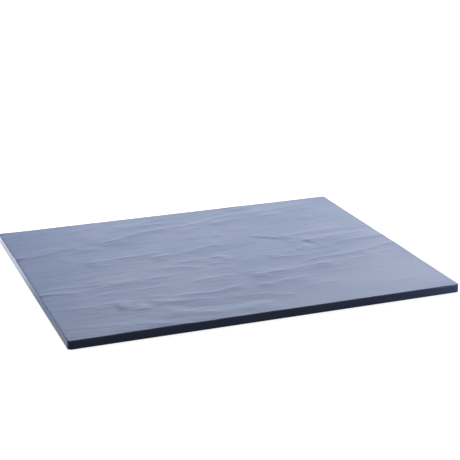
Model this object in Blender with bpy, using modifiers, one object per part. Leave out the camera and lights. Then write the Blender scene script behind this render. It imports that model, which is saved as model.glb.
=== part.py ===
"""Slate-effect melamine serving board on four silicone feet, at its real size in metres.

The board is one compression-moulded slab: a riven slate face on top, drafted edges and a flat underside.
The feet are turned discs, bonded into shallow sockets under the corners.
The origin is on the table below the board's middle. +X runs along the length, +Y to the back and +Z up.
"""

import math

import bmesh
import bpy
import numpy as np

# Board
BOARD_LENGTH = 0.325
BOARD_WIDTH = 0.265
BOARD_THICKNESS = 0.007
CORNER_RADIUS = 0.003
TOP_ARRIS_RADIUS = 0.0008
BOTTOM_ARRIS_RADIUS = 0.0006
EDGE_DRAFT = 0.0002

# Feet and the sockets that they are bonded into
FOOT_DIAMETER = 0.012
FOOT_STANDOUT = 0.0012
FOOT_EDGE_RADIUS = 0.0005
FOOT_INSET = 0.030
SOCKET_DEPTH = 0.001
GLUE_GAP = 0.0003

# Fineness of the facets
CORNER_SEGMENTS = 4
ARRIS_SEGMENTS = 2
FOOT_SEGMENTS = 48
FOOT_EDGE_SEGMENTS = 4
RELIEF_STEP_X = 0.009
RELIEF_STEP_Y = 0.0032
CUT_TOLERANCE = 0.000001

# Heights over the table
UNDERSIDE = FOOT_STANDOUT
MID_PLANE = UNDERSIDE + BOARD_THICKNESS / 2
FACE = UNDERSIDE + BOARD_THICKNESS
SOCKET_TOP = UNDERSIDE + SOCKET_DEPTH

# Colours as linear red, green and blue, with the roughness of each finish
MELAMINE = ("dark_slate_melamine", (0.019, 0.024, 0.044), 0.42)
SILICONE = ("black_silicone", (0.012, 0.012, 0.013), 0.65)

# Main ledges of the riven face, from the back edge to the front one. Each has its rise, how far it runs out behind
# and in front of its crest, and the crest's points as shares of the half length and half width, from left to right.
LEDGE_FADE = 0.008
LEDGES = (
    (0.00030, 0.005, 0.005, ((-0.65, 0.84), (-0.44, 0.91))),
    (0.00034, 0.005, 0.005, ((-0.39, 0.85), (-0.21, 0.87), (0.0, 0.93), (0.09, 0.95))),
    (0.00042, 0.006, 0.005, ((0.28, 0.82), (0.46, 0.83), (0.65, 0.86), (0.92, 0.93))),
    (0.00050, 0.006, 0.005, ((-0.50, 0.55), (-0.38, 0.60), (-0.21, 0.68), (0.0, 0.72), (0.26, 0.81))),
    (0.00045, 0.009, 0.006, ((-1.0, 0.45), (-0.86, 0.47), (-0.74, 0.51), (-0.62, 0.55))),
    (0.00040, 0.010, 0.004, ((0.26, 0.37), (0.35, 0.29), (0.45, 0.20), (0.53, 0.18))),
    (0.00035, 0.005, 0.006, ((0.41, 0.26), (0.62, 0.28), (0.89, 0.29))),
    (0.00035, 0.004, 0.004, ((-0.64, 0.20), (-0.38, 0.23), (-0.23, 0.24))),
    (0.00035, 0.004, 0.004, ((-0.28, 0.16), (-0.10, 0.19), (0.07, 0.23), (0.17, 0.23))),
    (0.00030, 0.005, 0.008, ((0.53, 0.13), (0.75, 0.15), (0.97, 0.17))),
    (0.00035, 0.006, 0.005, ((-0.40, -0.09), (-0.22, -0.07), (-0.09, -0.12))),
    (0.00050, 0.006, 0.006, ((0.49, -0.23), (0.73, -0.22), (0.89, -0.17), (1.0, -0.13))),
    (0.00055, 0.004, 0.004, ((-1.0, -0.26), (-0.89, -0.28), (-0.84, -0.30))),
    (0.00045, 0.005, 0.005, ((0.14, -0.39), (0.39, -0.35), (0.74, -0.31))),
    (0.00030, 0.005, 0.005, ((-0.65, -0.36), (-0.23, -0.34), (0.09, -0.32))),
    (0.00030, 0.005, 0.005, ((-0.86, -0.53), (-0.54, -0.55))),
    (0.00040, 0.005, 0.007, ((-0.49, -0.52), (-0.36, -0.55), (-0.17, -0.57), (0.07, -0.56), (0.33, -0.53))),
    (0.00045, 0.008, 0.005, ((-0.68, -0.61), (-0.34, -0.65), (-0.19, -0.71), (0.0, -0.70), (0.17, -0.76))),
    (0.00045, 0.006, 0.006, ((-0.44, -0.74), (-0.37, -0.83), (-0.18, -0.88), (0.05, -0.87))),
    (0.00035, 0.005, 0.006, ((-0.73, -0.88), (-0.57, -0.93), (-0.43, -0.97))),
)


def new_material(name, colour, roughness):
    """A Principled material of one colour and roughness."""
    material = bpy.data.materials.new(name)
    material.use_nodes = True
    shader = material.node_tree.nodes["Principled BSDF"]
    shader.inputs["Base Color"].default_value = (*colour, 1)
    shader.inputs["Roughness"].default_value = roughness
    return material


def new_object(name, mesh, collection, parent):
    """An object that shows the mesh, in its collection and under its parent."""
    made = bpy.data.objects.new(name, mesh)
    made.parent = parent
    collection.objects.link(made)
    return made


def mesh_from(shape, name):
    """Turns a bmesh into a mesh and frees it."""
    mesh = bpy.data.meshes.new(name)
    shape.to_mesh(mesh)
    shape.free()
    return mesh


def board_slab():
    """The plain slab: drafted edges, rounded plan corners and a small round on each arris."""
    slab = bmesh.new()
    bmesh.ops.create_cube(slab, size=1)
    bmesh.ops.scale(slab, vec=(BOARD_LENGTH, BOARD_WIDTH, BOARD_THICKNESS), verts=slab.verts)
    bmesh.ops.translate(slab, vec=(0, 0, MID_PLANE), verts=slab.verts)
    upper = [vert for vert in slab.verts if vert.co.z > MID_PLANE]
    drafted = (1 - 2 * EDGE_DRAFT / BOARD_LENGTH, 1 - 2 * EDGE_DRAFT / BOARD_WIDTH, 1)
    bmesh.ops.scale(slab, vec=drafted, verts=upper)
    uprights = [edge for edge in slab.edges if edge.verts[0].co.z != edge.verts[1].co.z]
    round_edges(slab, uprights, CORNER_RADIUS, CORNER_SEGMENTS)
    for level, radius in ((FACE, TOP_ARRIS_RADIUS), (UNDERSIDE, BOTTOM_ARRIS_RADIUS)):
        rim = [edge for edge in slab.edges if all(at_level(vert, level) for vert in edge.verts)]
        round_edges(slab, rim, radius, ARRIS_SEGMENTS)
    return slab


def at_level(vert, level):
    """True where the vertex lies in the plane at that height."""
    return abs(vert.co.z - level) < CUT_TOLERANCE


def round_edges(shape, edges, radius, segments):
    """Rounds the edges with an arc of the radius."""
    bmesh.ops.bevel(shape, geom=edges, offset=radius, segments=segments, profile=0.5, affect="EDGES",
                    clamp_overlap=True)


def cut_across(shape, faces, point, normal):
    """Cuts the faces along the plane through the point."""
    edges = {edge for face in faces for edge in face.edges}
    verts = {vert for face in faces for vert in face.verts}
    bmesh.ops.bisect_plane(shape, geom=[*verts, *edges, *faces], dist=CUT_TOLERANCE, plane_co=point,
                           plane_no=normal)


def upper_faces(shape):
    """The faces above the mid plane, which carry the relief."""
    return [face for face in shape.faces if face.calc_center_median().z > MID_PLANE]


def cut_into_cells(slab):
    """Cuts the slab at its mid plane, and its upper half into cells that are fine enough for the ledges."""
    cut_across(slab, list(slab.faces), (0, 0, MID_PLANE), (0, 0, 1))
    for axis, length, step in ((0, BOARD_LENGTH, RELIEF_STEP_X), (1, BOARD_WIDTH, RELIEF_STEP_Y)):
        count = math.ceil(length / step)
        normal = [0, 0, 0]
        normal[axis] = 1
        for index in range(1, count):
            offset = length * (index / count - 0.5)
            cut_across(slab, upper_faces(slab), [offset * part for part in normal], normal)


def ledge_height(x, y):
    """Height of the riven face over its mean plane at the points x, y."""
    height = np.zeros_like(x)
    for rise, back_width, front_width, crest in LEDGES:
        crest_x = [share * BOARD_LENGTH / 2 for share, _ in crest]
        crest_y = [share * BOARD_WIDTH / 2 for _, share in crest]
        behind = y - np.interp(x, crest_x, crest_y)
        width = np.where(behind > 0, back_width, front_width)
        inside = np.minimum(x - crest_x[0], crest_x[-1] - x)
        taper = np.clip(1 + inside / LEDGE_FADE, 0, 1)
        height += rise * taper * np.exp(-((behind / width) ** 2))
    return height - height.mean()


def raise_ledges(slab):
    """Lifts the face and its arris by the ledges, so that they run out through the edges."""
    cells = [vert for vert in slab.verts if vert.co.z > MID_PLANE + CUT_TOLERANCE]
    lift = ledge_height(np.array([vert.co.x for vert in cells]), np.array([vert.co.y for vert in cells]))
    for vert, height in zip(cells, lift):
        vert.co.z += height
    bmesh.ops.triangulate(slab, faces=upper_faces(slab))


def foot_places():
    """The name and the middle of each foot."""
    x = BOARD_LENGTH / 2 - FOOT_INSET
    y = BOARD_WIDTH / 2 - FOOT_INSET
    for row, y_side in (("front", -1), ("back", 1)):
        for column, x_side in (("left", -1), ("right", 1)):
            yield f"{row}_{column}", (x_side * x, y_side * y)


def socket_mesh():
    """The round cutter of a socket, as deep above the underside as it is below it."""
    socket = bmesh.new()
    radius = FOOT_DIAMETER / 2 + GLUE_GAP
    bmesh.ops.create_cone(socket, cap_ends=True, segments=FOOT_SEGMENTS, radius1=radius, radius2=radius,
                          depth=2 * SOCKET_DEPTH)
    return mesh_from(socket, "socket")


def foot_profile():
    """Half of the foot's section, from the middle of its top down to the middle of its sole."""
    radius = FOOT_DIAMETER / 2
    top = SOCKET_TOP - GLUE_GAP
    yield 0, top
    yield radius, top
    for index in range(FOOT_EDGE_SEGMENTS + 1):
        angle = index / FOOT_EDGE_SEGMENTS * math.pi / 2
        across = radius - FOOT_EDGE_RADIUS * (1 - math.cos(angle))
        yield across, FOOT_EDGE_RADIUS * (1 - math.sin(angle))
    yield 0, 0


def foot_mesh():
    """The profile of a foot as a chain of edges, for turning."""
    profile = bmesh.new()
    chain = [profile.verts.new((across, 0, height)) for across, height in foot_profile()]
    for start, end in zip(chain, chain[1:]):
        profile.edges.new((start, end))
    return mesh_from(profile, "foot")


def turn(foot):
    """Turns the profile round the foot's upright axis."""
    screw = foot.modifiers.new("turned", "SCREW")
    screw.steps = FOOT_SEGMENTS
    screw.render_steps = FOOT_SEGMENTS
    screw.use_merge_vertices = True
    screw.merge_threshold = CUT_TOLERANCE


def build():
    """Makes the board and its feet."""
    for old in list(bpy.data.objects):
        bpy.data.objects.remove(old)
    pieces = bpy.data.collections.new("serving_board")
    cutters = bpy.data.collections.new("socket_cutters")
    bpy.context.scene.collection.children.link(pieces)
    bpy.context.scene.collection.children.link(cutters)
    origin = bpy.data.objects.new("table_point", None)
    pieces.objects.link(origin)

    slab = board_slab()
    cut_into_cells(slab)
    raise_ledges(slab)
    board = new_object("board", mesh_from(slab, "board"), pieces, origin)
    board.data.materials.append(new_material(*MELAMINE))

    turned = foot_mesh()
    turned.materials.append(new_material(*SILICONE))
    bored = socket_mesh()
    for place, (x, y) in foot_places():
        foot = new_object(f"foot_{place}", turned, pieces, origin)
        foot.location = (x, y, 0)
        turn(foot)
        socket = new_object(f"socket_{place}", bored, cutters, origin)
        socket.location = (x, y, UNDERSIDE)
        socket.hide_render = True
        socket.display_type = "WIRE"

    sockets = board.modifiers.new("sockets", "BOOLEAN")
    sockets.operation = "DIFFERENCE"
    sockets.operand_type = "COLLECTION"
    sockets.collection = cutters


build()
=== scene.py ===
# %% [markdown]
# # A slate-effect melamine serving board
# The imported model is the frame: it fixes the size and the place of the board and its feet, in metres.
# Everything below dresses that frame and leaves it where it is, so the box it fills is kept for the end.

# %% Load the frame
import math

import bmesh
import bpy
import numpy as np
from mathutils import Matrix, Vector


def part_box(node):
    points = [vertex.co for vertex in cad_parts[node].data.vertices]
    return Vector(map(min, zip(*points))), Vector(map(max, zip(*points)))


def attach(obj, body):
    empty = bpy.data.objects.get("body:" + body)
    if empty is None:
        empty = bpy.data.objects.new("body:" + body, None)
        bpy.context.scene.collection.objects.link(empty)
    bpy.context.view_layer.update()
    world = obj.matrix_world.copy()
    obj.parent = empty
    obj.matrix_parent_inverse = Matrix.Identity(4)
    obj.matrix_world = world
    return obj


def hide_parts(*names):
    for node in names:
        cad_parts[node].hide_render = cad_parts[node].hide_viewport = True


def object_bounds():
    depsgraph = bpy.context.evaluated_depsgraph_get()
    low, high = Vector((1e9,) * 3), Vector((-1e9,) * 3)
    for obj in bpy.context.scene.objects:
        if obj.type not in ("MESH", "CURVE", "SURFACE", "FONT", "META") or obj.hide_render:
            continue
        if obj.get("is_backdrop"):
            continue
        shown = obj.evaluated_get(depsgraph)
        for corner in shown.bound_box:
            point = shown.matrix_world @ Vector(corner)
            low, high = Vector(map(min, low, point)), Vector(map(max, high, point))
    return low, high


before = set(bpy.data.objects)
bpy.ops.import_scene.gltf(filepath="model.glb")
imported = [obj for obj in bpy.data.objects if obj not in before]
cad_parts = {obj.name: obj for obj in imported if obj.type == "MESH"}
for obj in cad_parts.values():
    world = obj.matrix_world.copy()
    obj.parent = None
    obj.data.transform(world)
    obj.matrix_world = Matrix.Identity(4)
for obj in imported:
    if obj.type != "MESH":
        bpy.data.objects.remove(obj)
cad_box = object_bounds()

MM = 0.001
board_low, board_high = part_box("board")
board_size = [round(side / MM, 1) for side in board_high - board_low]
print("frame:", len(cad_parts), "solids, board", board_size, "mm")

# %% [markdown]
# ## The camera
# The photograph was taken with a long lens from the front left, a little above the board. A camera can be
# pushed about by eye until the picture fits. Here the four corners of the board, whose places are known, fix
# it better: its direction, its distance, and how far the middle of the board lies off its axis.

# %% Camera: direction and place
BOARD_THICKNESS = 7 * MM
FACE = board_low.z + BOARD_THICKNESS
CAMERA_AZIMUTH = math.radians(-20.44)
CAMERA_ELEVATION = math.radians(18.37)
CAMERA_ROLL = math.radians(-0.295)
CAMERA_DISTANCE = 1.1028
CAMERA_SIDESTEP = 12.24 * MM
CAMERA_LIFT = 23.58 * MM

toward_camera = Vector((
    math.sin(CAMERA_AZIMUTH) * math.cos(CAMERA_ELEVATION),
    -math.cos(CAMERA_AZIMUTH) * math.cos(CAMERA_ELEVATION),
    math.sin(CAMERA_ELEVATION),
))
level_right = Vector((0, 0, 1)).cross(toward_camera).normalized()
level_up = toward_camera.cross(level_right)
camera_right = level_right * math.cos(CAMERA_ROLL) + level_up * math.sin(CAMERA_ROLL)
camera_up = level_up * math.cos(CAMERA_ROLL) - level_right * math.sin(CAMERA_ROLL)
camera_place = Vector((0, 0, FACE)) + toward_camera * CAMERA_DISTANCE
camera_place += camera_right * CAMERA_SIDESTEP + camera_up * CAMERA_LIFT
print("camera at", [round(v, 3) for v in camera_place])

# %% Camera: lens
CAMERA_LENS = 100.35
SENSOR_WIDTH = 36.0
lens = bpy.data.cameras.new("camera")
lens.lens = CAMERA_LENS
lens.sensor_width = SENSOR_WIDTH
camera = bpy.data.objects.new("camera", lens)
turned = Matrix((camera_right, camera_up, toward_camera)).transposed()
camera.matrix_world = Matrix.Translation(camera_place) @ turned.to_4x4()
bpy.context.scene.collection.objects.link(camera)
bpy.context.scene.camera = camera
print("lens:", CAMERA_LENS, "mm, an angle of", round(math.degrees(lens.angle), 1), "degrees")

# %% [markdown]
# ## The blank
# The real board leaves its mould as one slab. A cube with bevelled edges has that outline, but too few
# points for the relief, which comes later from moving them. So the top is a fine grid. Its cells are narrow
# from front to back, because the ledges run from left to right. A grid has square corners, so the points of
# each corner square are moved on to a quarter disc. The rim of the grid is then pulled out and down, ring by
# ring, to make the arris, the edge and the underside.

# %% Blank: sizes of the face
HALF_LENGTH = board_high.x
HALF_WIDTH = board_high.y
CORNER_RADIUS = 3 * MM
TOP_ARRIS = 0.8 * MM
EDGE_DRAFT = 0.2 * MM
face_half = Vector((HALF_LENGTH, HALF_WIDTH)) - Vector((1, 1)) * (EDGE_DRAFT + TOP_ARRIS)
face_corner = CORNER_RADIUS - TOP_ARRIS
inner_half = face_half - Vector((1, 1)) * face_corner
print("face inside its arris:", [round(2 * half / MM, 1) for half in face_half], "mm")

# %% Blank: the grid of the face
CELL_LENGTH = 1.8 * MM
CELL_WIDTH = 0.65 * MM
CORNER_CELLS = 4


def grid_lines(inner, outer, step):
    """Places of the grid's lines along one axis, closer together in the corners."""
    middle = np.linspace(-inner, inner, 2 * round(inner / step) + 1)
    corner = np.linspace(inner, outer, CORNER_CELLS + 1)[1:]
    return np.concatenate([-corner[::-1], middle, corner])


def rounded(x, y):
    """Moves a point of a corner square on to the quarter disc inside that square."""
    over_x = max(abs(x) - inner_half.x, 0) / face_corner
    over_y = max(abs(y) - inner_half.y, 0) / face_corner
    if over_x and over_y:
        x = math.copysign(inner_half.x + face_corner * over_x * math.sqrt(1 - over_y ** 2 / 2), x)
        y = math.copysign(inner_half.y + face_corner * over_y * math.sqrt(1 - over_x ** 2 / 2), y)
    return x, y


lines_x = grid_lines(inner_half.x, face_half.x, CELL_LENGTH)
lines_y = grid_lines(inner_half.y, face_half.y, CELL_WIDTH)
blank = bmesh.new()
bmesh.ops.create_grid(blank, x_segments=len(lines_x) - 1, y_segments=len(lines_y) - 1, size=1)
for vert in blank.verts:
    column = round((vert.co.x + 1) / 2 * (len(lines_x) - 1))
    row = round((vert.co.y + 1) / 2 * (len(lines_y) - 1))
    vert.co = (*rounded(lines_x[column], lines_y[row]), FACE)
print("face grid:", len(lines_x), "by", len(lines_y), "points")

# %% Blank: the rings of the arris, the edge and the underside
BOTTOM_ARRIS = 0.6 * MM
ARRIS_STEPS = 4
EDGE_STEPS = 4
UNDERSIDE_RING = 2 * MM
edge_top = FACE - TOP_ARRIS
edge_foot = board_low.z + BOTTOM_ARRIS


def rings():
    """Offset outwards from the face's rim and height of each ring, from the top arris to the underside."""
    for step in range(1, ARRIS_STEPS + 1):
        angle = step / ARRIS_STEPS * math.pi / 2
        yield TOP_ARRIS * math.sin(angle), edge_top + TOP_ARRIS * math.cos(angle)
    for step in range(1, EDGE_STEPS + 1):
        share = step / EDGE_STEPS
        yield TOP_ARRIS + EDGE_DRAFT * share, edge_top + (edge_foot - edge_top) * share
    for step in range(1, ARRIS_STEPS + 1):
        angle = step / ARRIS_STEPS * math.pi / 2
        reach = TOP_ARRIS + EDGE_DRAFT - BOTTOM_ARRIS * (1 - math.cos(angle))
        yield reach, edge_foot - BOTTOM_ARRIS * math.sin(angle)
    yield TOP_ARRIS + EDGE_DRAFT - BOTTOM_ARRIS - UNDERSIDE_RING, board_low.z


print("rings:", len(list(rings())), "from the rim of the face to the underside")

# %% Blank: pull the rim out and down
def pull(shape, edges):
    """Extrudes a loop of edges in place and returns the new loop with its points."""
    new = bmesh.ops.extrude_edge_only(shape, edges=edges)["geom"]
    loop = [item for item in new if isinstance(item, bmesh.types.BMEdge) and item.is_boundary]
    return loop, {vert for edge in loop for vert in edge.verts}


rim = [edge for edge in blank.edges if edge.is_boundary]
for offset, height in rings():
    rim, points = pull(blank, rim)
    for vert in points:
        inside = Vector([np.clip(vert.co[axis], -inner_half[axis], inner_half[axis]) for axis in (0, 1)])
        way = (vert.co.xy - inside).normalized()
        vert.co = (*(inside + way * (face_corner + offset)), height)
print("blank:", len(blank.faces), "faces before the underside is closed")

# %% [markdown]
# ## The underside and its sockets
# The underside of such a board is plain and flat, with four shallow round sockets for the feet. A Boolean
# modifier could cut them, but it leaves slivers on a flat face. Instead their rims are drawn as circles in
# the flat outline, the flat is filled round them, and each rim is pushed up to form its socket.

# %% Sockets: places
GLUE_GAP = 0.3 * MM
foot_nodes = [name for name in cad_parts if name.startswith("foot_")]
foot_boxes = [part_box(name) for name in foot_nodes]
foot_places = [(low + high) / 2 for low, high in foot_boxes]
foot_radius = (foot_boxes[0][1].x - foot_boxes[0][0].x) / 2
socket_radius = foot_radius + GLUE_GAP
print("sockets:", len(foot_places), "of", round(2 * socket_radius / MM, 1), "mm across")

# %% Blank: underside with sockets
SOCKET_DEPTH = 1 * MM
SOCKET_CHAMFER = 0.25 * MM
SOCKET_SIDES = 64
mouths = []
for place in foot_places:
    under = Matrix.Translation((place.x, place.y, board_low.z))
    circle = bmesh.ops.create_circle(
        blank, cap_ends=False, segments=SOCKET_SIDES, radius=socket_radius + SOCKET_CHAMFER, matrix=under)
    mouths.append(list(dict.fromkeys(edge for vert in circle["verts"] for edge in vert.link_edges)))
outlines = [*rim, *(edge for mouth in mouths for edge in mouth)]
bmesh.ops.triangle_fill(blank, edges=outlines, use_beauty=True, normal=(0, 0, -1))
for mouth, place in zip(mouths, foot_places):
    for height in (SOCKET_CHAMFER, SOCKET_DEPTH):
        mouth, points = pull(blank, mouth)
        for vert in points:
            way = (vert.co.xy - place.xy).normalized()
            vert.co = (*(place.xy + way * socket_radius), board_low.z + height)
    bmesh.ops.contextual_create(blank, geom=mouth)
bmesh.ops.recalc_face_normals(blank, faces=blank.faces)
open_edges = sum(not edge.is_manifold for edge in blank.edges)
blank_mesh = bpy.data.meshes.new("blank")
blank.to_mesh(blank_mesh)
blank.free()
print("blank closed:", open_edges, "open edges,", len(blank_mesh.polygons), "faces")
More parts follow.
